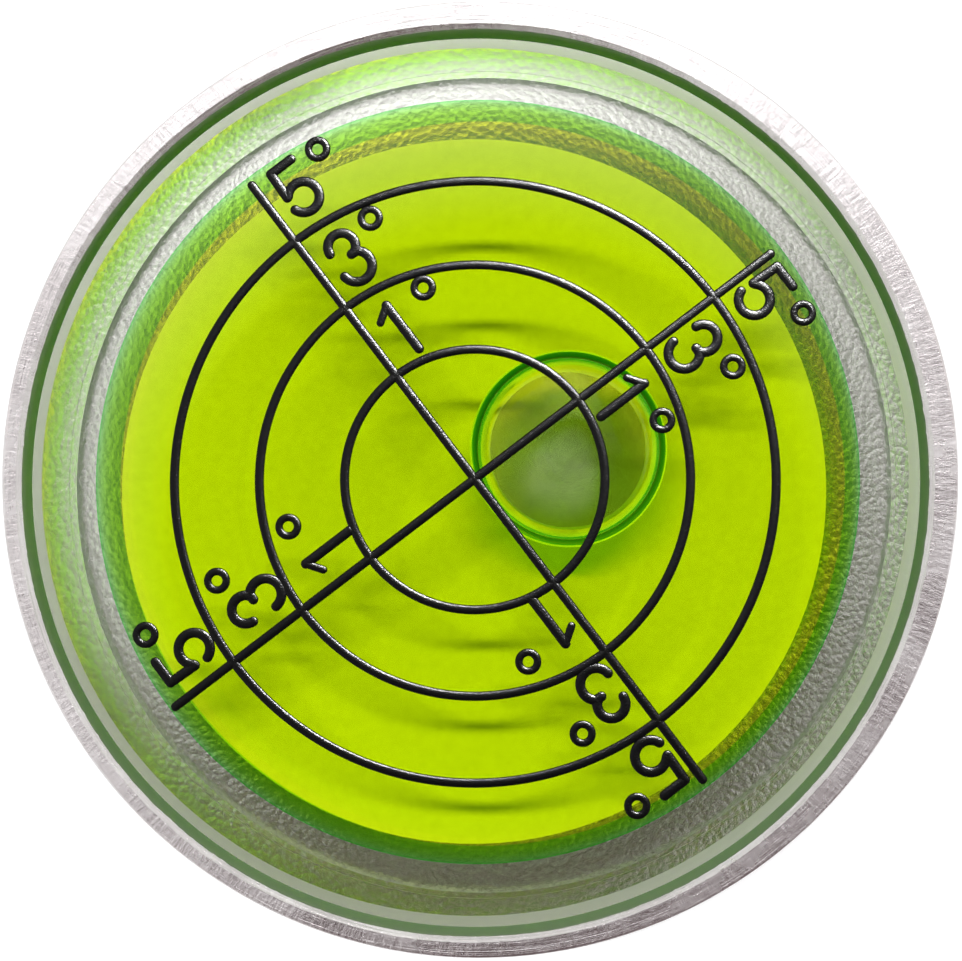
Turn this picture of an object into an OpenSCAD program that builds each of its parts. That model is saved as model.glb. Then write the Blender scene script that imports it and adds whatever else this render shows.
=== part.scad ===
// Bullseye level: a clear round vial of green liquid in a shallow aluminium cup.
// Millimetres. +Z is up, and the origin is the centre of the cup's underside.
// The dial's cross lies along X and Y.

/* [Cup] */
// Outer diameter of the cup
housing_d = 32; // [30:0.5:60]
// Mean wall of the cup round its bore
housing_wall = 0.8; // [0.6:0.05:3]
// Thickness of the cup's floor
housing_floor = 1.2; // [0.6:0.1:4]
// How far the bore was turned off centre, towards -X
bore_shift = 0.2; // [0:0.05:0.3]
// How far the rim stands above the vial's face
rim_lip = 0.15; // [0.1:0.05:1]
// Round on the rim's outer edge
rim_round = 0.1; // [0.05:0.05:0.25]
// Broken edge inside the rim
rim_bevel = 0.15; // [0.02:0.01:0.25]
// Chamfer round the foot
foot_chamfer = 0.35; // [0.1:0.05:0.5]

/* [Vial] */
// Radial clearance between the vial and the bore
vial_gap = 0.23; // [0.04:0.01:0.3]
// Share of that clearance by which the vial sits nearer to +X
vial_lean = 0; // [0:0.1:0.9]
// Side wall of the vial
vial_wall = 1.82; // [1:0.01:2.5]
// Thickness of the lens over the top of its dome
lens_t = 1.2; // [0.8:0.1:3]
// Radius of the dome under the lens, which sets the sensitivity
dome_r = 82; // [70:1:95]
// Height of the liquid at the side wall
cavity_h = 4; // [2:0.1:8]
// Thickness of the bonded base plate
base_t = 1.2; // [0.6:0.1:3]
// Width of the chamfer on the lens's top edge
chamfer_w = 0.45; // [0.1:0.05:0.6]
// Depth of the same chamfer
chamfer_h = 0.35; // [0.1:0.05:0.8]

/* [White disc] */
// Thickness of the white adhesive disc under the vial
disc_t = 0.35; // [0.1:0.05:1]
// How much smaller than the liquid the disc is, in radius
disc_inset = 0.2; // [0.1:0.05:2]
// How far off the vial's axis the disc was stuck, along X
disc_shift_x = -0.45; // [-0.5:0.05:0.5]
// The same, along Y
disc_shift_y = 0; // [-0.5:0.05:0.5]

/* [Bubble] */
// Widest diameter of the air bubble
bubble_d = 6.8; // [5:0.1:8]
// Radius of the bubble's round edge
bubble_edge = 0.95; // [0.6:0.05:1.1]
// Radius of the bubble's nearly flat underside
bubble_under_r = 10; // [8:0.5:30]
// Tilt that the bubble shows, in degrees
shown_tilt = 2.34; // [0:0.01:5]
// Direction of that tilt from +X, in degrees
shown_direction = -20; // [-180:1:180]

/* [Dial] */
// Thickness of the ink
ink_t = 0.06; // [0.02:0.01:0.09]
// Width of the rings and of the cross
line_w = 0.31; // [0.15:0.01:0.4]
// Radius that the rings start from at zero degrees
ring_zero_r = 2.93; // [2:0.01:3.5]
// Length of each arm of the cross from the dial's centre
arm_l = 12.5; // [11:0.1:13]
// Height of a digit
digit_h = 2.17; // [1.4:0.01:2.3]
// Width of a digit
digit_w = 1.4; // [1:0.01:1.5]
// Width of the digits' strokes
digit_line = 0.34; // [0.2:0.01:0.4]
// From the middle of an arm to the middle of its digits
digit_side = 1.03; // [0.9:0.01:1.2]
// Gap between the lowest digit and its ring, less than zero where the ink runs together
digit_gap = -0.03; // [-0.1:0.01:0.1]
// How much that gap grows from each ring to the next
digit_gap_step = 0.12; // [0:0.01:0.15]
// Outer diameter of a degree sign
degree_d = 0.88; // [0.6:0.01:1]
// Width of a degree sign's line
degree_line = 0.26; // [0.1:0.01:0.28]
// From a digit's middle to the middle of its degree sign, to the right
degree_right = 1.35; // [1.2:0.01:1.5]
// The same, upwards
degree_up = 0.64; // [0.5:0.01:0.8]
// How far the digits were printed off the cross, along X and along Y
digits_off = 0.13; // [0:0.01:0.15]
// How far the dial was printed off the vial's axis, along X
dial_shift_x = -0.05; // [-0.4:0.05:0.4]
// The same, along Y
dial_shift_y = -0.1; // [-0.4:0.05:0.4]

/* [Hidden] */

$fn = 128;
// Fine enough for the shallow dome
dome_fn = 1440;
// Length by which a cut runs past the solid it cuts
past = 1;

// Degrees that the rings stand for
marks = [1, 3, 5];
arm_count = 4;

housing_r = housing_d / 2;
bore_r = housing_r - housing_wall;
vial_r = bore_r - vial_gap;
cavity_r = vial_r - vial_wall;
disc_r = cavity_r - disc_inset;

bore_x = -bore_shift;
vial_x = bore_x + vial_lean * vial_gap;
disc_x = vial_x + disc_shift_x;
dial_x = vial_x + dial_shift_x;

dome_rise = dome_r - sqrt(pow(dome_r, 2) - pow(cavity_r, 2));
base_z = housing_floor + disc_t;
cavity_z = base_z + base_t;
dome_z = cavity_z + cavity_h + dome_rise;
vial_z = dome_z + lens_t;
housing_h = vial_z + rim_lip;

bubble_r = bubble_d / 2;
// The bubble rises this much into the dome, which then cuts it
bubble_rise = 0.03;
// Centre of the round edge
edge_x = bubble_r - bubble_edge;
edge_z = bubble_rise - bubble_edge;
// Centre of the underside's arc, which meets the round edge smoothly
under_z = edge_z + sqrt(pow(bubble_under_r - bubble_edge, 2) - pow(edge_x, 2));

// Half-lengths of a digit's centre lines, and the radii of its bowls
digit_top = (digit_h - digit_line) / 2;
bowl_r = (digit_w - digit_line) / 2;
small_bowl_r = 0.89 * bowl_r;

function ring_r(degrees) = ring_zero_r + dome_r * sin(degrees);
function digit_r(i) = ring_r(marks[i]) + digit_gap + i * digit_gap_step + digit_h / 2;

// Cup: turned from bar, bored a little off centre
module housing() {
  color("silver")
  difference() {
    rotate_extrude() housing_outline();
    translate([bore_x, 0, housing_floor]) cylinder(r = bore_r, h = housing_h);
    translate([bore_x, 0, housing_h - rim_bevel])
      cylinder(r1 = bore_r, r2 = bore_r + rim_bevel + past, h = rim_bevel + past);
  }
}

module housing_outline() {
  translate([0, foot_chamfer]) square([housing_r, housing_h - foot_chamfer - rim_round]);
  polygon([
    [0, 0],
    [housing_r - foot_chamfer, 0],
    [housing_r, foot_chamfer],
    [0, foot_chamfer]
  ]);
  translate([0, housing_h - rim_round]) square([housing_r - rim_round, rim_round]);
  translate([housing_r - rim_round, housing_h - rim_round])
    intersection() {
      circle(r = rim_round);
      square(rim_round);
    }
}

// White disc: double-sided adhesive that holds the vial in the cup and backs the liquid
module adhesive_disc() {
  color("white")
  translate([disc_x, disc_shift_y, housing_floor]) cylinder(r = disc_r, h = disc_t);
}

// Base plate: clear disc bonded under the vial after filling
module vial_base() {
  color("lightcyan", 0.5)
  translate([vial_x, 0, base_z]) cylinder(r = vial_r, h = base_t);
}

// Vial: side wall and domed lens, moulded as one
module vial_body() {
  color("azure", 0.5)
  translate([vial_x, 0, 0])
  difference() {
    rotate_extrude() polygon([
      [0, cavity_z],
      [vial_r, cavity_z],
      [vial_r, vial_z - chamfer_h],
      [vial_r - chamfer_w, vial_z],
      [0, vial_z]
    ]);
    cavity(cavity_z - past);
  }
}

// Space inside the vial from height z up to the dome, on the vial's axis
module cavity(z) {
  rotate_extrude()
  intersection() {
    translate([0, z]) square([cavity_r, dome_z - z + past]);
    translate([0, dome_z - dome_r]) circle(r = dome_r, $fn = dome_fn);
  }
}

// Bubble before the dome cuts its top, on its own axis with the dome at zero height
module bubble_form() {
  rotate_extrude() {
    translate([edge_x, edge_z])
      intersection() {
        circle(r = bubble_edge);
        translate([-edge_x, -bubble_edge]) square([bubble_r, 2 * bubble_edge]);
      }
    intersection() {
      translate([0, under_z]) circle(r = bubble_under_r, $fn = dome_fn);
      polygon([
        [0, bubble_rise],
        [edge_x, bubble_rise],
        [edge_x, edge_z],
        [2 * edge_x, 2 * edge_z - under_z],
        [0, 2 * edge_z - under_z]
      ]);
    }
  }
}

// The bubble rests against the dome where the shown tilt leaves it
module place_bubble() {
  translate([vial_x, 0, dome_z - dome_r])
  rotate([0, shown_tilt, shown_direction])
  translate([0, 0, dome_r])
  children();
}

// Liquid: fills the vial except for the bubble
module liquid() {
  color("yellowgreen", 0.6)
  difference() {
    translate([vial_x, 0, 0]) cavity(cavity_z);
    place_bubble() bubble_form();
  }
}

// Air bubble, pressed against the dome
module air_bubble() {
  color("honeydew", 0.4)
  intersection() {
    translate([vial_x, 0, 0]) cavity(cavity_z);
    place_bubble() bubble_form();
  }
}

// Dial: one layer of raised black ink on the lens
module dial_print() {
  color("black")
  translate([dial_x, dial_shift_y, vial_z])
  linear_extrude(ink_t) {
    for (degrees = marks) ring(ring_r(degrees));
    for (k = [0 : arm_count / 2 - 1]) rotate(90 * k) stroke([-arm_l, 0], [arm_l, 0], line_w);
    translate([digits_off, digits_off])
      for (k = [0 : arm_count - 1], i = [0 : len(marks) - 1])
        rotate(90 * k) translate([digit_r(i), -digit_side]) rotate(-90) label(i);
  }
}

module ring(r) {
  difference() {
    circle(r = r + line_w / 2);
    circle(r = r - line_w / 2);
  }
}

// Straight stroke with round ends
module stroke(a, b, w) {
  length = norm(b - a);
  translate(a)
  rotate(atan2(b.y - a.y, b.x - a.x)) {
    translate([0, -w / 2]) square([length, w]);
    circle(d = w);
    translate([length, 0]) circle(d = w);
  }
}

// Part of a ring with round ends, from one angle on to a larger one
module arc_stroke(centre, r, from, to, w) {
  reach = 2 * (r + w);
  step = (to - from) / 8;
  translate(centre) {
    intersection() {
      difference() {
        circle(r = r + w / 2);
        circle(r = r - w / 2);
      }
      polygon(concat([[0, 0]], [for (k = [0 : 8]) reach * [cos(from + k * step), sin(from + k * step)]]));
    }
    for (end = [from, to]) translate(r * [cos(end), sin(end)]) circle(d = w);
  }
}

module label(i) {
  if (i == 0) digit_one();
  if (i == 1) digit_three();
  if (i == 2) digit_five();
  translate([degree_right, degree_up])
    difference() {
      circle(d = degree_d);
      circle(d = degree_d - 2 * degree_line);
    }
}

// Each digit is centred on the origin and is digit_h high
module digit_one() {
  flag_w = 1.05 * bowl_r;
  stroke([0, -digit_top], [0, digit_top], digit_line);
  polygon([
    [0, digit_top + digit_line / 2],
    [-flag_w, 0.75 * digit_top],
    [-0.95 * flag_w, 0.52 * digit_top],
    [0, 0.68 * digit_top]
  ]);
}

module digit_three() {
  waist = 0.04 * digit_h;
  arc_stroke([0, digit_top - small_bowl_r], small_bowl_r, -60, 175, digit_line);
  arc_stroke([0, bowl_r - digit_top], bowl_r, -175, 60, digit_line);
  stroke([0.08 * digit_w, waist / 2], [0.2 * digit_w, waist / 2], digit_line);
}

module digit_five() {
  corner = [-0.8 * bowl_r, digit_top];
  stroke(corner, [0.8 * bowl_r, digit_top], digit_line);
  stroke(corner, [-0.87 * bowl_r, -0.08 * digit_top], digit_line);
  arc_stroke([0, bowl_r - digit_top], bowl_r, -160, 140, digit_line);
}

housing();
adhesive_disc();
vial_base();
vial_body();
liquid();
air_bubble();
dial_print();
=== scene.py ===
"""Bullseye level: a clear vial of green liquid in a shallow aluminium cup, seen from straight above.

Metres, +Z up. Sizes in the sections are millimetres, times MM.
"""

import math

import bmesh
import bpy
from mathutils import Matrix, Vector, noise


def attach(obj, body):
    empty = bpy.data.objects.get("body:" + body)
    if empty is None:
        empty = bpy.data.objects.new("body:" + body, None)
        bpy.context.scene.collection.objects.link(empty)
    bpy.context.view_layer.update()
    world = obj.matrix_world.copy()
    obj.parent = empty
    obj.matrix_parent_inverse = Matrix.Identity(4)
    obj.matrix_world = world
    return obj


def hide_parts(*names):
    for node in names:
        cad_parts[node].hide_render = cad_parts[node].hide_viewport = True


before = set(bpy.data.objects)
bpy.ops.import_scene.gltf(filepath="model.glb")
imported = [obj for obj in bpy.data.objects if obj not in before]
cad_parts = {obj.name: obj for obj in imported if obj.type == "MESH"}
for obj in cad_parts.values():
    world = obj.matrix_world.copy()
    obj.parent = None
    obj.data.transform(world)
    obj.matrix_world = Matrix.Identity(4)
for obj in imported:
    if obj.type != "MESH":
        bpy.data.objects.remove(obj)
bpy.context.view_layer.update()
MM = 0.001

scene = bpy.context.scene
scene.view_settings.view_transform = "Standard"
# Light crosses a dozen clear faces on its way to the white disc and back
scene.cycles.max_bounces = 15
scene.cycles.transmission_bounces = 15
scene.cycles.transparent_max_bounces = 16
scene.cycles.diffuse_bounces = 2
scene.cycles.glossy_bounces = 4


# Cup
# One piece of aluminium, turned from bar. Its bore was cut a little off centre, which leaves the
# wall thinner on one side. The floor is bead-blasted, and the rim was faced and left with burrs.
CUP_R = 16
BORE_R = 15.2
BORE_X = -0.2
FLOOR_Z = 1.2
RIM_Z = 9.161
RIM_ROUND = 0.1
RIM_BEVEL = 0.15
FOOT_CHAMFER = 0.35
CUP_STEPS = 960


def arc_points(centre, radius, start, end, count):
    """Points on an arc, as (radius, height), from one angle in degrees to another."""
    points = []
    for i in range(count + 1):
        angle = math.radians(start + (end - start) * i / count)
        points.append((centre[0] + radius * math.cos(angle), centre[1] + radius * math.sin(angle)))
    return points


def spun(profile, axis_x, axis_y, steps):
    """A closed shape turned about an upright axis, from (radius, height) points in millimetres."""
    bm = bmesh.new()
    points = [bm.verts.new(((axis_x + r) * MM, axis_y * MM, z * MM)) for r, z in profile]
    edges = [bm.edges.new(pair) for pair in zip(points, points[1:])]
    bmesh.ops.spin(
        bm,
        geom=points + edges,
        cent=(axis_x * MM, axis_y * MM, 0),
        axis=(0, 0, 1),
        angle=2 * math.pi,
        steps=steps,
        use_merge=True,
    )
    bmesh.ops.remove_doubles(bm, verts=bm.verts[:], dist=1e-7)
    bmesh.ops.recalc_face_normals(bm, faces=bm.faces[:])
    return bm


def make_piece(bm, name, replaced=None, sharp=30):
    """Turns a bmesh into a piece that rides on the body, and hides the CAD part that it stands in for."""
    mesh = bpy.data.meshes.new(name)
    bm.to_mesh(mesh)
    bm.free()
    mesh.polygons.foreach_set("use_smooth", [True] * len(mesh.polygons))
    mesh.set_sharp_from_angle(angle=math.radians(sharp))
    piece = bpy.data.objects.new(name, mesh)
    scene.collection.objects.link(piece)
    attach(piece, "root")
    if replaced:
        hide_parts(replaced)
    return piece


cup_profile = [(0, 0)]
cup_profile += [(CUP_R * part, 0) for part in (0.3, 0.6, 0.85)]
cup_profile += [(CUP_R - FOOT_CHAMFER, 0), (CUP_R, FOOT_CHAMFER)]
cup_profile += [(CUP_R, z) for z in (2, 4, 6, 8)]
cup_profile += arc_points((CUP_R - RIM_ROUND, RIM_Z - RIM_ROUND), RIM_ROUND, 0, 90, 8)
rim_inner = BORE_R + RIM_BEVEL
rim_top_count = 9
for i in range(1, rim_top_count + 1):
    cup_profile.append((CUP_R - RIM_ROUND + (rim_inner - CUP_R + RIM_ROUND) * i / rim_top_count, RIM_Z))
bore_start = len(cup_profile) - 1
cup_profile += [(BORE_R + RIM_BEVEL / 2, RIM_Z - RIM_BEVEL / 2), (BORE_R, RIM_Z - RIM_BEVEL)]
cup_profile += [(BORE_R, z) for z in (8.7, 8, 7, 5, 3, FLOOR_Z + 0.12)]
cup_profile += arc_points((BORE_R - 0.12, FLOOR_Z + 0.12), 0.12, 0, -90, 4)[1:]
cup_profile += [(BORE_R * part, FLOOR_Z) for part in (0.95, 0.85, 0.6, 0.3)]
cup_profile += [(0, FLOOR_Z)]

cup_bm = spun(cup_profile, 0, 0, CUP_STEPS)
for v in cup_bm.verts:
    radius = math.hypot(v.co.x, v.co.y) / MM
    height = v.co.z / MM
    turn = math.atan2(v.co.y, v.co.x)
    if height > FLOOR_Z - 0.01 and radius < CUP_R - 0.1:
        # The bore's own centre: all of its wall moves over, and the rim's face spreads the difference
        share = 1.0
        if radius > rim_inner:
            share = (CUP_R - RIM_ROUND - radius) / (CUP_R - RIM_ROUND - rim_inner)
            share = max(0.0, min(1.0, share))
        v.co.x += BORE_X * MM * share
    if height > RIM_Z - RIM_BEVEL - 0.01 and BORE_R - 0.01 < radius < rim_inner + 0.01:
        # Burrs and small chips along the edge of the bore
        around = Vector((math.cos(turn), math.sin(turn), 0))
        ragged = 0.5 * noise.noise(around * 30) + 1.3 * max(0.0, noise.noise(around * 75 + Vector((5, 1, 2))) - 0.12)
        v.co -= around * MM * 0.03 * ragged
for face in cup_bm.faces:
    middle = face.calc_center_median()
    inside = math.hypot(middle.x - BORE_X * MM, middle.y) < (BORE_R - 0.2) * MM
    wall = math.hypot(middle.x - BORE_X * MM, middle.y) < (BORE_R + 0.01) * MM
    if inside and middle.z > 1.0 * MM:
        face.material_index = 1
    elif wall and middle.z > 1.0 * MM:
        face.material_index = 2
cup = make_piece(cup_bm, "cup", "housing", sharp=40)


def new_material(name):
    """An empty node material and its output node."""
    material = bpy.data.materials.new(name)
    material.use_nodes = True
    material.node_tree.nodes.clear()
    output = material.node_tree.nodes.new("ShaderNodeOutputMaterial")
    return material, output


def add_node(tree, kind, settings=None, **inputs):
    """Adds a node, sets its properties, and sets or links its inputs by name or number."""
    node = tree.nodes.new(kind)
    for key, value in (settings or {}).items():
        setattr(node, key, value)
    for key, value in inputs.items():
        socket = node.inputs[int(key[1:])] if key[0] == "_" else node.inputs[key.replace("_", " ")]
        if isinstance(value, bpy.types.NodeSocket):
            tree.links.new(value, socket)
        else:
            socket.default_value = value
    return node


def new_group(name, inputs, outputs):
    """A node group with named value inputs and outputs."""
    group = bpy.data.node_groups.new(name, "ShaderNodeTree")
    for label, kind in inputs:
        group.interface.new_socket(label, in_out="INPUT", socket_type=kind)
    for label, kind in outputs:
        group.interface.new_socket(label, in_out="OUTPUT", socket_type=kind)
    source = group.nodes.new("NodeGroupInput")
    sink = group.nodes.new("NodeGroupOutput")
    return group, source, sink


# Polar coordinates about an upright axis, in millimetres, for marks that run round a turned piece
polar, polar_in, polar_out = new_group(
    "polar",
    [("Vector", "NodeSocketVector"), ("Centre", "NodeSocketVector")],
    [("Radius", "NodeSocketFloat"), ("Turn", "NodeSocketFloat"), ("Height", "NodeSocketFloat")],
)
in_mm = add_node(polar, "ShaderNodeVectorMath", {"operation": "SCALE"}, _0=polar_in.outputs["Vector"], Scale=1000.0)
from_axis = add_node(
    polar, "ShaderNodeVectorMath", {"operation": "SUBTRACT"}, _0=in_mm.outputs[0], _1=polar_in.outputs["Centre"]
)
parts = add_node(polar, "ShaderNodeSeparateXYZ", _0=from_axis.outputs[0])
flat = add_node(polar, "ShaderNodeCombineXYZ", X=parts.outputs["X"], Y=parts.outputs["Y"])
reach = add_node(polar, "ShaderNodeVectorMath", {"operation": "LENGTH"}, _0=flat.outputs[0])
angle = add_node(polar, "ShaderNodeMath", {"operation": "ARCTAN2"}, _0=parts.outputs["Y"], _1=parts.outputs["X"])
polar.links.new(reach.outputs["Value"], polar_out.inputs["Radius"])
polar.links.new(angle.outputs[0], polar_out.inputs["Turn"])
polar.links.new(parts.outputs["Z"], polar_out.inputs["Height"])


def place_polar(tree, centre):
    """Places the polar group on the piece's own coordinates."""
    where = add_node(tree, "ShaderNodeTexCoord")
    node = tree.nodes.new("ShaderNodeGroup")
    node.node_tree = polar
    tree.links.new(where.outputs["Object"], node.inputs["Vector"])
    node.inputs["Centre"].default_value = centre
    return node, where.outputs["Object"]


# Turned metal: fine grooves that run round, and the blotches of handling
turned, turned_out = new_material("turned_aluminium")
tree = turned.node_tree
ring, where = place_polar(tree, (0, 0, 0))
groove_at = add_node(
    tree,
    "ShaderNodeCombineXYZ",
    X=add_node(tree, "ShaderNodeMath", {"operation": "MULTIPLY"}, _0=ring.outputs["Radius"], _1=22.0).outputs[0],
    Y=add_node(tree, "ShaderNodeMath", {"operation": "MULTIPLY"}, _0=ring.outputs["Turn"], _1=3.0).outputs[0],
    Z=add_node(tree, "ShaderNodeMath", {"operation": "MULTIPLY"}, _0=ring.outputs["Height"], _1=9.0).outputs[0],
)
groove = add_node(tree, "ShaderNodeTexNoise", Vector=groove_at.outputs[0], Scale=1.0, Detail=4.0, Roughness=0.65)
grain = add_node(tree, "ShaderNodeTexNoise", Vector=where, Scale=9000.0, Detail=3.0, Roughness=0.6)
blotch = add_node(tree, "ShaderNodeTexNoise", Vector=where, Scale=420.0, Detail=4.0, Roughness=0.6)
# Marks that run across the rim's face, from the edge inwards
across_at = add_node(
    tree,
    "ShaderNodeCombineXYZ",
    X=add_node(tree, "ShaderNodeMath", {"operation": "MULTIPLY"}, _0=ring.outputs["Radius"], _1=1.6).outputs[0],
    Y=add_node(tree, "ShaderNodeMath", {"operation": "MULTIPLY"}, _0=ring.outputs["Turn"], _1=95.0).outputs[0],
    Z=add_node(tree, "ShaderNodeMath", {"operation": "MULTIPLY"}, _0=ring.outputs["Height"], _1=1.5).outputs[0],
)
across = add_node(tree, "ShaderNodeTexNoise", Vector=across_at.outputs[0], Scale=1.0, Detail=4.0, Roughness=0.7)
height_sum = add_node(
    tree, "ShaderNodeMath", {"operation": "MULTIPLY_ADD"}, _0=grain.outputs[0], _1=0.5, _2=groove.outputs[0]
)
height_sum = add_node(
    tree, "ShaderNodeMath", {"operation": "MULTIPLY_ADD"}, _0=across.outputs[0], _1=1.3, _2=height_sum.outputs[0]
)
bump = add_node(tree, "ShaderNodeBump", Height=height_sum.outputs[0], Strength=0.55, Distance=0.00003)
rough = add_node(
    tree, "ShaderNodeMapRange", Value=blotch.outputs[0], From_Min=0.3, From_Max=0.7, To_Min=0.2, To_Max=0.32
)
tone = add_node(tree, "ShaderNodeValToRGB", Fac=blotch.outputs[0])
tone.color_ramp.elements[0].position = 0.35
tone.color_ramp.elements[0].color = (0.74, 0.71, 0.715, 1)
tone.color_ramp.elements[1].position = 0.65
tone.color_ramp.elements[1].color = (0.88, 0.86, 0.865, 1)
metal = add_node(
    tree,
    "ShaderNodeBsdfPrincipled",
    Base_Color=tone.outputs[0],
    Metallic=1.0,
    Roughness=rough.outputs[0],
    Normal=bump.outputs[0],
)
tree.links.new(metal.outputs[0], turned_out.inputs["Surface"])

# Bead-blasted floor: coarse pits that sparkle
blasted, blasted_out = new_material("blasted_aluminium")
tree = blasted.node_tree
ring, where = place_polar(tree, (BORE_X, 0, 0))
pits = add_node(tree, "ShaderNodeTexVoronoi", Vector=where, Scale=4500.0, Randomness=1.0)
fine = add_node(tree, "ShaderNodeTexNoise", Vector=where, Scale=8000.0, Detail=4.0, Roughness=0.7)
height_sum = add_node(
    tree, "ShaderNodeMath", {"operation": "MULTIPLY_ADD"}, _0=fine.outputs[0], _1=1.2, _2=pits.outputs["Distance"]
)
bump = add_node(tree, "ShaderNodeBump", Height=height_sum.outputs[0], Strength=0.5, Distance=0.00003)
tone = add_node(tree, "ShaderNodeValToRGB", Fac=fine.outputs[0])
tone.color_ramp.elements[0].position = 0.35
tone.color_ramp.elements[0].color = (0.74, 0.72, 0.725, 1)
tone.color_ramp.elements[1].position = 0.65
tone.color_ramp.elements[1].color = (0.92, 0.9, 0.905, 1)
metal = add_node(
    tree,
    "ShaderNodeBsdfPrincipled",
    Base_Color=tone.outputs[0],
    Metallic=1.0,
    Roughness=0.17,
    Normal=bump.outputs[0],
)
tree.links.new(metal.outputs[0], blasted_out.inputs["Surface"])

# Bore: a smoother cut, with finer grooves
bored, bored_out = new_material("bored_aluminium")
tree = bored.node_tree
ring, where = place_polar(tree, (BORE_X, 0, 0))
groove_at = add_node(
    tree,
    "ShaderNodeCombineXYZ",
    X=add_node(tree, "ShaderNodeMath", {"operation": "MULTIPLY"}, _0=ring.outputs["Height"], _1=18.0).outputs[0],
    Y=add_node(tree, "ShaderNodeMath", {"operation": "MULTIPLY"}, _0=ring.outputs["Turn"], _1=2.0).outputs[0],
)
groove = add_node(tree, "ShaderNodeTexNoise", Vector=groove_at.outputs[0], Scale=1.0, Detail=4.0, Roughness=0.6)
bump = add_node(tree, "ShaderNodeBump", Height=groove.outputs[0], Strength=0.25, Distance=0.00002)
metal = add_node(
    tree,
    "ShaderNodeBsdfPrincipled",
    Base_Color=(0.74, 0.72, 0.7, 1),
    Metallic=0.55,
    Roughness=0.34,
    Normal=bump.outputs[0],
)
tree.links.new(metal.outputs[0], bored_out.inputs["Surface"])

for material in (turned, blasted, bored):
    cup.data.materials.append(material)


# White disc
# Double-sided white adhesive film, cut out by hand and stuck a little off centre. It holds the vial
# in the cup and backs the liquid.
white_film, white_out = new_material("white_film")
tree = white_film.node_tree
where = add_node(tree, "ShaderNodeTexCoord").outputs["Object"]
fibre = add_node(tree, "ShaderNodeTexNoise", Vector=where, Scale=3000.0, Detail=5.0, Roughness=0.6)
tone = add_node(tree, "ShaderNodeValToRGB", Fac=fibre.outputs[0])
tone.color_ramp.elements[0].position = 0.3
tone.color_ramp.elements[0].color = (0.84, 0.84, 0.82, 1)
tone.color_ramp.elements[1].position = 0.7
tone.color_ramp.elements[1].color = (0.92, 0.92, 0.9, 1)
bump = add_node(tree, "ShaderNodeBump", Height=fibre.outputs[0], Strength=0.3, Distance=0.00003)
film = add_node(
    tree, "ShaderNodeBsdfPrincipled", Base_Color=tone.outputs[0], Roughness=0.8, Normal=bump.outputs[0]
)
tree.links.new(film.outputs[0], white_out.inputs["Surface"])
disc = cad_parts["adhesive_disc"]
disc.data.materials.clear()
disc.data.materials.append(white_film)


# Vial
# Side wall and domed lens, one clear acrylic moulding with a chamfer on its top edge, bonded to a
# clear plate that closes it. It stands on the white disc with a hair of clearance in the bore.
VIAL_X = -0.2
VIAL_R = 14.97
CAVITY_R = 13.15
CAVITY_Z = 2.75
PLATE_Z = 1.55
DOME_R = 82
DOME_Z = 7.811
LENS_Z = 9.011
CHAMFER_W = 0.45
CHAMFER_H = 0.35
VIAL_STEPS = 360
# Clear pieces that touch overlap by this much, so that no two faces lie in one place
OVERLAP = 0.01


def dome_height(radius):
    """Height of the dome under the lens at a distance from the vial's axis."""
    return DOME_Z - DOME_R + math.sqrt(DOME_R**2 - radius**2)


vial_profile = [(0, LENS_Z), (CAVITY_R, LENS_Z), (VIAL_R - CHAMFER_W, LENS_Z)]
vial_profile += [(VIAL_R, LENS_Z - CHAMFER_H), (VIAL_R, 5), (VIAL_R, CAVITY_Z), (CAVITY_R, CAVITY_Z)]
vial_profile += [(CAVITY_R, dome_height(CAVITY_R))]
dome_count = 24
for i in range(1, dome_count + 1):
    r = CAVITY_R * (1 - i / dome_count)
    vial_profile.append((r, dome_height(r)))
vial_bm = spun(vial_profile, VIAL_X, 0, VIAL_STEPS)
for face in vial_bm.faces:
    middle = face.calc_center_median() / MM
    from_axis = math.hypot(middle.x - VIAL_X, middle.y)
    # Faces that the liquid wets or that are bonded: nothing shines back from them
    if middle.z < CAVITY_Z + 0.01 or (middle.z < DOME_Z + 0.01 and from_axis < CAVITY_R + 0.01):
        face.material_index = 1
    elif middle.z < LENS_Z - 0.01 and middle.z > LENS_Z - CHAMFER_H:
        face.material_index = 2
vial = make_piece(vial_bm, "vial", "vial_body", sharp=12)

plate_profile = [(0, PLATE_Z + OVERLAP), (VIAL_R - 0.005, PLATE_Z + OVERLAP)]
plate_profile += [(VIAL_R - 0.005, CAVITY_Z + OVERLAP), (0, CAVITY_Z + OVERLAP)]
plate_bm = spun(plate_profile, VIAL_X, 0, VIAL_STEPS)
for face in plate_bm.faces:
    if face.calc_center_median().z > CAVITY_Z * MM:
        face.material_index = 1
plate = make_piece(plate_bm, "base_plate", "vial_base", sharp=30)


def clear_material(name, colour, ior, roughness, shade=None):
    """Clear glassy material. Lamps shine straight through it, so that they reach what lies below."""
    material, output = new_material(name)
    tree = material.node_tree
    glass = add_node(
        tree,
        "ShaderNodeBsdfPrincipled",
        Base_Color=colour,
        Roughness=roughness,
        IOR=ior,
        Transmission_Weight=1.0,
    )
    let_through = add_node(tree, "ShaderNodeBsdfTransparent", Color=shade or colour)
    path = add_node(tree, "ShaderNodeLightPath")
    mixed = add_node(
        tree,
        "ShaderNodeMixShader",
        _0=path.outputs["Is Shadow Ray"],
        _1=glass.outputs[0],
        _2=let_through.outputs[0],
    )
    tree.links.new(mixed.outputs[0], output.inputs["Surface"])
    return material, tree, glass, output


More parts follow.
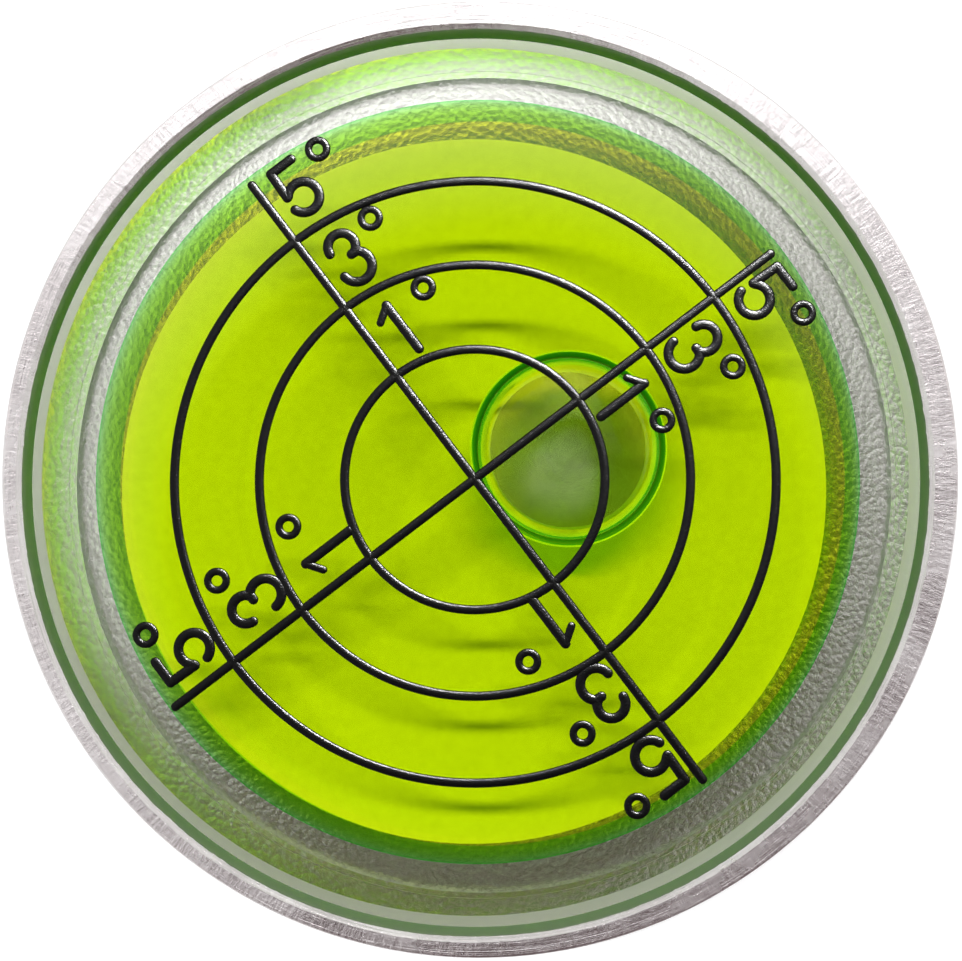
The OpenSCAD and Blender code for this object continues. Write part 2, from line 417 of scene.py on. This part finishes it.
acrylic, tree, glass, _ = clear_material("clear_acrylic", (0.985, 0.995, 0.985, 1), 1.49, 0.0)
vial.data.materials.append(acrylic)
plate_acrylic, tree, glass, _ = clear_material("clear_plate", (0.985, 0.995, 0.985, 1), 1.49, 0.0)
plate.data.materials.append(plate_acrylic)
bonded, tree, glass, _ = clear_material("bonded_face", (1, 1, 1, 1), 1.0, 0.0)
for piece in (vial, plate):
    piece.data.materials.append(bonded)

# The chamfer was milled, which left its face a little cloudy
milled, tree, glass, _ = clear_material("milled_edge", (0.95, 0.985, 0.85, 1), 1.49, 0.15)
glass.inputs["Transmission Weight"].default_value = 0.55
where = add_node(tree, "ShaderNodeTexCoord").outputs["Object"]
cuts = add_node(tree, "ShaderNodeTexNoise", Vector=where, Scale=5000.0, Detail=4.0, Roughness=0.65)
bump = add_node(tree, "ShaderNodeBump", Height=cuts.outputs[0], Strength=0.3, Distance=0.00002)
tree.links.new(bump.outputs[0], glass.inputs["Normal"])
vial.data.materials.append(milled)


# Bubble
# A flat pocket of air, pressed against the dome where the shown tilt leaves it. Its edge is round,
# and its underside bulges a little.
BUBBLE_D = 6.8
BUBBLE_EDGE = 0.95
BUBBLE_UNDER_R = 10
BUBBLE_RISE = 0.03
SHOWN_TILT = 2.34
SHOWN_DIRECTION = -20
BUBBLE_STEPS = 256

edge_x = BUBBLE_D / 2 - BUBBLE_EDGE
edge_z = BUBBLE_RISE - BUBBLE_EDGE
under_z = edge_z + math.sqrt((BUBBLE_UNDER_R - BUBBLE_EDGE) ** 2 - edge_x**2)
# Where the round edge runs into the underside, as an angle
meet = math.degrees(math.atan2(edge_z - under_z, edge_x))
place_bubble = (
    Matrix.Translation((VIAL_X * MM, 0, (DOME_Z - DOME_R) * MM))
    @ Matrix.Rotation(math.radians(SHOWN_DIRECTION), 4, "Z")
    @ Matrix.Rotation(math.radians(SHOWN_TILT), 4, "Y")
    @ Matrix.Translation((0, 0, DOME_R * MM))
)


def bubble_wall(top_angle):
    """The bubble's round edge and underside, from an angle on the edge down to the axis."""
    points = arc_points((edge_x, edge_z), BUBBLE_EDGE, top_angle, meet, 26)
    points += arc_points((0, under_z), BUBBLE_UNDER_R, meet, -90, 24)[1:]
    return points


air_profile = [(r, math.sqrt(DOME_R**2 - r**2) - DOME_R) for r in (0, 0.7, 1.4, 2.1, 2.6)]
air_profile += bubble_wall(66.6)
air_bm = spun(air_profile, 0, 0, BUBBLE_STEPS)
bmesh.ops.transform(air_bm, matrix=place_bubble, verts=air_bm.verts[:])
air = make_piece(air_bm, "air_bubble_form", "air_bubble", sharp=40)
# It spreads the light that falls on it, and so leaves a soft shadow on the disc
air_clear, tree, glass, _ = clear_material("air", (1, 1, 1, 1), 1.0, 0.0, shade=(0.47, 0.67, 0.3, 1))
# Painted reflection: a cloudy diffuse patch on the lens inside the bubble stands in for a reflected haze, and takes
# the lamps' light like any diffuse face
PAINTED_HAZE_X = 2.25
PAINTED_HAZE_Y = -1.68
PAINTED_HAZE_R = 1.9
ring, where = place_polar(tree, (PAINTED_HAZE_X, PAINTED_HAZE_Y, 0))
haze_speckle = add_node(tree, "ShaderNodeTexNoise", Vector=where, Scale=900.0, Detail=5.0, Roughness=0.6)
haze_edge = add_node(
    tree,
    "ShaderNodeMapRange",
    {"interpolation_type": "SMOOTHSTEP"},
    Value=ring.outputs["Radius"],
    From_Min=PAINTED_HAZE_R,
    From_Max=0.2 * PAINTED_HAZE_R,
    To_Min=0.0,
    To_Max=0.34,
)
on_top = add_node(
    tree,
    "ShaderNodeMapRange",
    Value=ring.outputs["Height"],
    From_Min=DOME_Z - 0.25,
    From_Max=DOME_Z - 0.2,
)
haze_share = add_node(
    tree, "ShaderNodeMath", {"operation": "MULTIPLY"}, _0=haze_edge.outputs[0], _1=haze_speckle.outputs[0]
)
haze_share = add_node(
    tree, "ShaderNodeMath", {"operation": "MULTIPLY"}, _0=haze_share.outputs[0], _1=on_top.outputs[0]
)
# Colour of the painted reflection haze, a greenish white
painted_haze = add_node(tree, "ShaderNodeBsdfDiffuse", Color=(0.75, 0.85, 0.45, 1))
with_painted_haze = add_node(tree, "ShaderNodeMixShader", _0=haze_share.outputs[0], _1=glass.outputs[0], _2=painted_haze.outputs[0])
shadow_mix = next(node for node in tree.nodes if node.type == "MIX_SHADER" and node is not with_painted_haze)
tree.links.new(with_painted_haze.outputs[0], shadow_mix.inputs[1])
air.data.materials.append(air_clear)


# Liquid
# A light spirit, dyed yellow-green. It fills the vial up to the dome except for the bubble. Its faces
# carry a painted green glow that shines whatever the lamps do: faint all over, stronger along its side wall and round
# the bubble's edge.
LIQUID_GROW = 0.02

liquid_bm = spun(bubble_wall(67.5), 0, 0, BUBBLE_STEPS)
turn_layer = liquid_bm.verts.layers.float.new("turn")
pocket_layer = liquid_bm.verts.layers.float.new("pocket")
rounded_layer = liquid_bm.verts.layers.float.new("rounded")
for v in liquid_bm.verts:
    v[turn_layer] = math.atan2(v.co.y, v.co.x) + math.radians(SHOWN_DIRECTION)
    v[pocket_layer] = 1.0
    # How far the point lies round the bubble's edge, from none to all
    past = (v.co.xy.length / MM - edge_x) / BUBBLE_EDGE
    v[rounded_layer] = max(0.0, min(1.0, 4 * past - 3))
bmesh.ops.transform(liquid_bm, matrix=place_bubble, verts=liquid_bm.verts[:])


def open_edges(bm):
    """The edges that have a face on one side only."""
    return [e for e in bm.edges if e.is_boundary]


def edge_verts(edges):
    """The vertices of these edges."""
    return list({v for e in edges for v in e.verts})


def extrude_open(bm):
    """Draws a new ring of faces out of the open edge, and returns its far vertices."""
    made = bmesh.ops.extrude_edge_only(bm, edges=open_edges(bm))
    return [g for g in made["geom"] if isinstance(g, bmesh.types.BMVert)]


# The dome's face runs from the bubble's rim out to the side wall, ring by ring
rim_start = {}
for v in edge_verts(open_edges(liquid_bm)):
    local = math.hypot(v.co.x / MM - VIAL_X, v.co.y / MM)
    v.co.z = (dome_height(local) + LIQUID_GROW) * MM
    rim_start[round(v[turn_layer], 4)] = v.co.copy()
liquid_r = CAVITY_R + LIQUID_GROW
ring_count = 30
for i in range(1, ring_count + 1):
    share = i / ring_count
    for v in extrude_open(liquid_bm):
        v[pocket_layer] = 0.0
        v[rounded_layer] = 0.0
        turn = v[turn_layer]
        start = rim_start[round(turn, 4)]
        end = Vector(((VIAL_X + liquid_r * math.cos(turn)) * MM, liquid_r * math.sin(turn) * MM, 0))
        v.co = start.lerp(end, share)
        local = math.hypot(v.co.x / MM - VIAL_X, v.co.y / MM)
        v.co.z = (dome_height(local) + LIQUID_GROW) * MM
for height in (5.8, 4.2, CAVITY_Z - LIQUID_GROW):
    for v in extrude_open(liquid_bm):
        v.co.z = height * MM
bmesh.ops.holes_fill(liquid_bm, edges=open_edges(liquid_bm), sides=0)
bmesh.ops.recalc_face_normals(liquid_bm, faces=liquid_bm.faces[:])
liquid = make_piece(liquid_bm, "liquid_form", "liquid", sharp=30)

dye, tree, glass, dye_out = clear_material("green_liquid", (1, 1, 1, 1), 1.0, 0.0)
# Only the bubble's wall bends light: the acrylic is so like the liquid that no face shows between them
at_bubble = add_node(
    tree, "ShaderNodeBsdfPrincipled", Base_Color=(1, 1, 1, 1), Roughness=0.0, IOR=1.38, Transmission_Weight=1.0
)
pocket = add_node(tree, "ShaderNodeAttribute", {"attribute_name": "pocket"})
# Painted glow: the bubble's wall emits green along the outer part of its round edge, whatever light falls on it
rounded = add_node(tree, "ShaderNodeAttribute", {"attribute_name": "rounded"})
painted_bubble_glow = add_node(tree, "ShaderNodeMix", {"data_type": "RGBA"}, _0=rounded.outputs["Fac"])
painted_bubble_glow.inputs[6].default_value = (0, 0, 0, 1)
painted_bubble_glow.inputs[7].default_value = (0.03, 1, 0.01, 1)
tree.links.new(painted_bubble_glow.outputs[2], at_bubble.inputs["Emission Color"])
at_bubble.inputs["Emission Strength"].default_value = 0.24
wall = add_node(
    tree, "ShaderNodeMixShader", _0=pocket.outputs["Fac"], _1=glass.outputs[0], _2=at_bubble.outputs[0]
)
shadow_mix = next(node for node in tree.nodes if node.type == "MIX_SHADER" and node is not wall)
tree.links.new(wall.outputs[0], shadow_mix.inputs[1])
ring, where = place_polar(tree, (VIAL_X, 0, 0))
edge_mask = add_node(
    tree,
    "ShaderNodeMapRange",
    Value=ring.outputs["Radius"],
    From_Min=CAVITY_R - 0.05,
    From_Max=CAVITY_R,
    To_Min=0.0,
    To_Max=1.0,
)
# Painted glow: every outer face of the liquid emits a faint green, and its side wall a stronger green, whatever light
# falls on it
painted_glow = add_node(
    tree,
    "ShaderNodeMix",
    {"data_type": "RGBA"},
    _0=edge_mask.outputs[0],
)
painted_glow.inputs[6].default_value = (0.008, 0.06, 0, 1)
painted_glow.inputs[7].default_value = (0.01, 0.28, 0.01, 1)
tree.links.new(painted_glow.outputs[2], glass.inputs["Emission Color"])
glass.inputs["Emission Strength"].default_value = 0.25
thick = add_node(tree, "ShaderNodeMix", {"data_type": "RGBA"}, _0=edge_mask.outputs[0])
thick.inputs[6].default_value = (1, 1, 1, 1)
thick.inputs[7].default_value = (0.2, 0.68, 0.2, 1)
tree.links.new(thick.outputs[2], glass.inputs["Base Color"])
taken = add_node(tree, "ShaderNodeVolumeAbsorption", Color=(0.935, 0.965, 0.0, 1), Density=900.0)
tree.links.new(taken.outputs[0], dye_out.inputs["Volume"])
liquid.data.materials.append(dye)


# Dial
# Black ink, printed on the lens in one layer that stands proud of it with rounded edges: rings for
# 1, 3 and 5 degrees, a cross, and the numbers beside its arms.
DIAL_X = -0.25
DIAL_Y = -0.1
INK_T = 0.06
INK_SINK = 0.005
LINE_W = 0.31
RING_ZERO_R = 2.93
ARM_L = 12.5
DIGIT_H = 2.17
DIGIT_W = 1.4
DIGIT_LINE = 0.34
DIGIT_SIDE = 1.03
DIGIT_GAP = -0.03
DIGIT_GAP_STEP = 0.12
DEGREE_D = 0.88
DEGREE_LINE = 0.26
DEGREE_RIGHT = 1.35
DEGREE_UP = 0.64
DIGITS_OFF = 0.13
MARKS = (1, 3, 5)
INK_SIDES = 10


def ink_section(width, half=False):
    """Section through a line of ink, as (sideways, up) points round it."""
    points = []
    first = INK_SIDES // 2 if half else 0
    for i in range(first, INK_SIDES + 1):
        angle = math.pi * (1 - i / INK_SIDES)
        points.append((width / 2 * math.cos(angle), INK_T * math.sin(angle) ** 0.8 if 0 < i < INK_SIDES else 0))
    points += [(width / 2, -INK_SINK), (0, -INK_SINK)]
    if not half:
        points.append((-width / 2, -INK_SINK))
    return points


def section_edges(bm, centre, heading, width, half=False):
    """Puts a section across a heading at a point, and returns its vertices and edges."""
    side = Vector((math.sin(heading), -math.cos(heading), 0))
    middle = Vector((centre[0], centre[1], 0))
    verts = [bm.verts.new(middle + side * s + Vector((0, 0, up))) for s, up in ink_section(width, half)]
    pairs = list(zip(verts, verts[1:]))
    if not half:
        pairs.append((verts[-1], verts[0]))
    return verts + [bm.edges.new(pair) for pair in pairs]


def round_end(bm, centre, heading, width):
    """Half of a turned end that closes a line of ink. The heading points out of the line."""
    geometry = section_edges(bm, centre, heading, width, half=True)
    bmesh.ops.spin(
        bm, geom=geometry, cent=(centre[0], centre[1], 0), axis=(0, 0, 1), angle=math.pi, steps=14
    )


def straight_ink(bm, a, b, width):
    """A straight line of ink with round ends."""
    heading = math.atan2(b[1] - a[1], b[0] - a[0])
    geometry = section_edges(bm, a, heading, width)
    made = bmesh.ops.extrude_edge_only(bm, edges=[g for g in geometry if isinstance(g, bmesh.types.BMEdge)])
    far = [g for g in made["geom"] if isinstance(g, bmesh.types.BMVert)]
    bmesh.ops.translate(bm, verts=far, vec=(b[0] - a[0], b[1] - a[1], 0))
    round_end(bm, b, heading, width)
    round_end(bm, a, heading + math.pi, width)


def curved_ink(bm, centre, radius, start, end, width):
    """A line of ink along an arc, from one angle in degrees to a larger one. A full turn closes."""
    full = end - start >= 360
    steps = max(8, int((end - start) / 360 * max(40, radius * 60)))
    a = math.radians(start)
    b = math.radians(end)
    from_point = (centre[0] + radius * math.cos(a), centre[1] + radius * math.sin(a))
    to_point = (centre[0] + radius * math.cos(b), centre[1] + radius * math.sin(b))
    geometry = section_edges(bm, from_point, a + math.pi / 2, width)
    bmesh.ops.spin(
        bm,
        geom=geometry,
        cent=(centre[0], centre[1], 0),
        axis=(0, 0, 1),
        angle=b - a,
        steps=steps,
        use_merge=full,
    )
    if not full:
        round_end(bm, to_point, b + math.pi / 2, width)
        round_end(bm, from_point, a - math.pi / 2, width)


digit_top = (DIGIT_H - DIGIT_LINE) / 2
bowl_r = (DIGIT_W - DIGIT_LINE) / 2
small_bowl_r = 0.89 * bowl_r


def ink_one(bm):
    """Figure 1: an upright with a short flag."""
    flag_w = 1.05 * bowl_r
    straight_ink(bm, (0, -digit_top), (0, digit_top), DIGIT_LINE)
    straight_ink(bm, (0, digit_top), (-0.92 * flag_w, 0.62 * digit_top), 0.8 * DIGIT_LINE)


def ink_three(bm):
    """Figure 3: two bowls that meet at the waist."""
    waist = 0.04 * DIGIT_H / 2
    curved_ink(bm, (0, digit_top - small_bowl_r), small_bowl_r, -60, 175, DIGIT_LINE)
    curved_ink(bm, (0, bowl_r - digit_top), bowl_r, -175, 60, DIGIT_LINE)
    straight_ink(bm, (0.08 * DIGIT_W, waist), (0.2 * DIGIT_W, waist), DIGIT_LINE)


def ink_five(bm):
    """Figure 5: a flat top, a short upright and a bowl."""
    corner = (-0.8 * bowl_r, digit_top)
    straight_ink(bm, corner, (0.8 * bowl_r, digit_top), DIGIT_LINE)
    straight_ink(bm, corner, (-0.87 * bowl_r, -0.08 * digit_top), DIGIT_LINE)
    curved_ink(bm, (0, bowl_r - digit_top), bowl_r, -160, 140, DIGIT_LINE)


dial_bm = bmesh.new()
for mark in MARKS:
    curved_ink(dial_bm, (0, 0), RING_ZERO_R + DOME_R * math.sin(math.radians(mark)), 0, 360, LINE_W)
straight_ink(dial_bm, (-ARM_L, 0), (ARM_L, 0), LINE_W)
straight_ink(dial_bm, (0, -ARM_L), (0, ARM_L), LINE_W)
for i, (mark, ink_digit) in enumerate(zip(MARKS, (ink_one, ink_three, ink_five))):
    label_r = RING_ZERO_R + DOME_R * math.sin(math.radians(mark)) + DIGIT_GAP + i * DIGIT_GAP_STEP + DIGIT_H / 2
    for quarter in range(4):
        label_bm = bmesh.new()
        ink_digit(label_bm)
        curved_ink(label_bm, (DEGREE_RIGHT, DEGREE_UP), (DEGREE_D - DEGREE_LINE) / 2, 0, 360, DEGREE_LINE)
        place_label = (
            Matrix.Translation((DIGITS_OFF, DIGITS_OFF, 0))
            @ Matrix.Rotation(math.radians(90 * quarter), 4, "Z")
            @ Matrix.Translation((label_r, -DIGIT_SIDE, 0))
            @ Matrix.Rotation(math.radians(-90), 4, "Z")
        )
        bmesh.ops.transform(label_bm, matrix=place_label, verts=label_bm.verts[:])
        label_mesh = bpy.data.meshes.new("label")
        label_bm.to_mesh(label_mesh)
        label_bm.free()
        dial_bm.from_mesh(label_mesh)
        bpy.data.meshes.remove(label_mesh)
bmesh.ops.remove_doubles(dial_bm, verts=dial_bm.verts[:], dist=1e-4)
bmesh.ops.recalc_face_normals(dial_bm, faces=dial_bm.faces[:])
bmesh.ops.transform(
    dial_bm,
    matrix=Matrix.Scale(MM, 4) @ Matrix.Translation((DIAL_X, DIAL_Y, LENS_Z)),
    verts=dial_bm.verts[:],
)
dial = make_piece(dial_bm, "dial_ink", "dial_print", sharp=50)

ink, ink_out = new_material("black_ink")
tree = ink.node_tree
where = add_node(tree, "ShaderNodeTexCoord").outputs["Object"]
lumps = add_node(tree, "ShaderNodeTexNoise", Vector=where, Scale=16000.0, Detail=3.0, Roughness=0.6)
bump = add_node(tree, "ShaderNodeBump", Height=lumps.outputs[0], Strength=0.6, Distance=0.00002)
black = add_node(
    tree,
    "ShaderNodeBsdfPrincipled",
    Base_Color=(0.003, 0.003, 0.003, 1),
    Roughness=0.22,
    Specular_IOR_Level=0.12,
    Normal=bump.outputs[0],
)
tree.links.new(black.outputs[0], ink_out.inputs["Surface"])
dial.data.materials.append(ink)


# Floor, light and camera
# A plain white floor under plain soft light. The camera looks down from close above.
floor_bm = bmesh.new()
bmesh.ops.create_grid(floor_bm, x_segments=2, y_segments=2, size=1.5)
floor_mesh = bpy.data.meshes.new("floor")
floor_bm.to_mesh(floor_mesh)
floor_bm.free()
floor = bpy.data.objects.new("floor", floor_mesh)
scene.collection.objects.link(floor)
paper, paper_out = new_material("white_paper")
tree = paper.node_tree
plain = add_node(tree, "ShaderNodeBsdfDiffuse", Color=(0.9, 0.9, 0.9, 1))
lift = add_node(tree, "ShaderNodeEmission", Color=(1, 1, 1, 1), Strength=0.45)
path = add_node(tree, "ShaderNodeLightPath")
seen = add_node(
    tree,
    "ShaderNodeMath",
    {"operation": "ADD", "use_clamp": True},
    _0=path.outputs["Is Camera Ray"],
    _1=path.outputs["Is Glossy Ray"],
)
seen_all = add_node(
    tree,
    "ShaderNodeMath",
    {"operation": "ADD", "use_clamp": True},
    _0=seen.outputs[0],
    _1=path.outputs["Is Transmission Ray"],
)
nothing = add_node(tree, "ShaderNodeEmission", Color=(0, 0, 0, 1), Strength=0.0)
lifted = add_node(tree, "ShaderNodeMixShader", _0=seen_all.outputs[0], _1=nothing.outputs[0], _2=lift.outputs[0])
both = add_node(tree, "ShaderNodeAddShader", _0=plain.outputs[0], _1=lifted.outputs[0])
tree.links.new(both.outputs[0], paper_out.inputs["Surface"])
floor_mesh.materials.append(paper)


def add_lamp(name, off_vertical, azimuth, distance, long_side, short_side, energy, shows):
    """A soft lamp that points at the level, long across the picture. It shows in what it is told to."""
    lamp = bpy.data.lights.new(name, "AREA")
    lamp.shape = "RECTANGLE"
    lamp.size = long_side
    lamp.size_y = short_side
    lamp.energy = energy
    holder = bpy.data.objects.new(name, lamp)
    tilt = math.radians(off_vertical)
    turn = math.radians(azimuth)
    towards = Vector((math.sin(tilt) * math.cos(turn), math.sin(tilt) * math.sin(turn), math.cos(tilt)))
    across = Vector((math.sin(PICTURE_UP), -math.cos(PICTURE_UP), 0))
    short_way = towards.cross(across).normalized()
    turned_to = Matrix((short_way.cross(towards), short_way, towards)).transposed().to_4x4()
    holder.matrix_world = Matrix.Translation(towards * distance + Vector((0, 0, 0.005))) @ turned_to
    holder.visible_diffuse = "diffuse" in shows
    holder.visible_glossy = "glossy" in shows
    holder.visible_transmission = "transmission" in shows
    scene.collection.objects.link(holder)
    return holder


# Azimuths are from +X; the top of the picture is at 52.7 degrees
PICTURE_UP = math.radians(52.7)
add_lamp("tube", 11.5, 54.0, 0.32, 0.12, 0.012, 0.85, ("diffuse",))
add_lamp("window", 30, 45.0, 0.5, 0.16, 0.05, 0.25, ("glossy",))
# A small bright lamp that only the ink takes: it picks out the edges of the raised print
glint = add_lamp("glint", 38, 30.0, 0.5, 0.14, 0.02, 30.0, ("glossy",))
ink_only = bpy.data.collections.new("ink_only")
ink_only.objects.link(dial)
glint.light_linking.receiver_collection = ink_only

# The room is bright all round, apart from a dark shape overhead and one below the picture
world = bpy.data.worlds.new("room")
scene.world = world
world.use_nodes = True
world.cycles_visibility.diffuse = False
tree = world.node_tree
tree.nodes.clear()
room_out = tree.nodes.new("ShaderNodeOutputWorld")
facing = add_node(tree, "ShaderNodeTexCoord").outputs["Generated"]
# Light that comes out of the acrylic has been turned back by the vial's side, and meets the room from
# the opposite side
path = add_node(tree, "ShaderNodeLightPath")
turned_back = add_node(
    tree, "ShaderNodeMath", {"operation": "MULTIPLY_ADD"}, _0=path.outputs["Is Transmission Ray"], _1=-2.0, _2=1.0
)
swap = add_node(tree, "ShaderNodeCombineXYZ", X=turned_back.outputs[0], Y=turned_back.outputs[0], Z=1.0)
direction = add_node(tree, "ShaderNodeVectorMath", {"operation": "MULTIPLY"}, _0=facing, _1=swap.outputs[0]).outputs[0]


def round_patch(rightwards, upwards, inner, outer):
    """Mask of a round patch of sky. It takes degrees off the vertical, along the picture's own axes."""
    x = math.tan(math.radians(rightwards))
    y = math.tan(math.radians(upwards))
    across = Vector((math.sin(PICTURE_UP), -math.cos(PICTURE_UP), 0))
    upright = Vector((math.cos(PICTURE_UP), math.sin(PICTURE_UP), 0))
    way = (across * x + upright * y + Vector((0, 0, 1))).normalized()
    near = add_node(tree, "ShaderNodeVectorMath", {"operation": "DOT_PRODUCT"}, _0=direction, _1=way)
    mask = add_node(
        tree,
        "ShaderNodeMapRange",
        {"interpolation_type": "SMOOTHSTEP"},
        Value=near.outputs["Value"],
        From_Min=math.cos(math.radians(outer)),
        From_Max=math.cos(math.radians(inner)),
    )
    return mask.outputs[0]


def mix_colours(mask, outside, inside):
    """Blends two colours or colour sockets by a mask."""
    node = add_node(tree, "ShaderNodeMix", {"data_type": "RGBA"}, _0=mask)
    for socket, value in ((node.inputs[6], outside), (node.inputs[7], inside)):
        if isinstance(value, bpy.types.NodeSocket):
            tree.links.new(value, socket)
        else:
            socket.default_value = value
    return node.outputs[2]


height = add_node(tree, "ShaderNodeSeparateXYZ", _0=direction).outputs["Z"]
high = add_node(tree, "ShaderNodeMapRange", Value=height, From_Min=0.5, From_Max=0.75).outputs[0]
room = mix_colours(high, (0.85, 0.84, 0.82, 1), (1.0, 0.96, 0.96, 1))
room = mix_colours(round_patch(-3, 29, 4, 22), room, (2.2, 2.15, 2.15, 1))
room = mix_colours(round_patch(16, -44, 34, 42), room, (0.11, 0.065, 0.068, 1))
room = mix_colours(round_patch(-3, -1, 12, 16), room, (0.02, 0.017, 0.017, 1))
# Light that the part has scattered once already meets an even grey room
scattered = add_node(tree, "ShaderNodeMath", {"operation": "MINIMUM"}, _0=path.outputs["Diffuse Depth"], _1=1.0)
room = mix_colours(scattered.outputs[0], room, (0.25, 0.25, 0.25, 1))
sky = add_node(tree, "ShaderNodeBackground", Color=room, Strength=1.0)
tree.links.new(sky.outputs[0], room_out.inputs["Surface"])

camera_data = bpy.data.cameras.new("camera")
camera_data.lens = 56.0
camera_data.sensor_width = 36.0
camera_data.clip_start = 0.002
camera_data.clip_end = 5.0
camera = bpy.data.objects.new("camera", camera_data)
scene.collection.objects.link(camera)
# The photograph was cropped off centre, so the view is shifted by that much
camera_data.shift_x = -0.082
camera_data.shift_y = -0.036
camera_at = Vector((1.58, -3.33, 59.05)) * MM
back = Vector((-0.0222, -0.0476, 1)).normalized()
right = Vector((math.cos(PICTURE_UP), math.sin(PICTURE_UP), 0)).cross(back).normalized()
up = back.cross(right)
camera.matrix_world = Matrix.Translation(camera_at) @ Matrix((right, up, back)).transposed().to_4x4()
scene.camera = camera
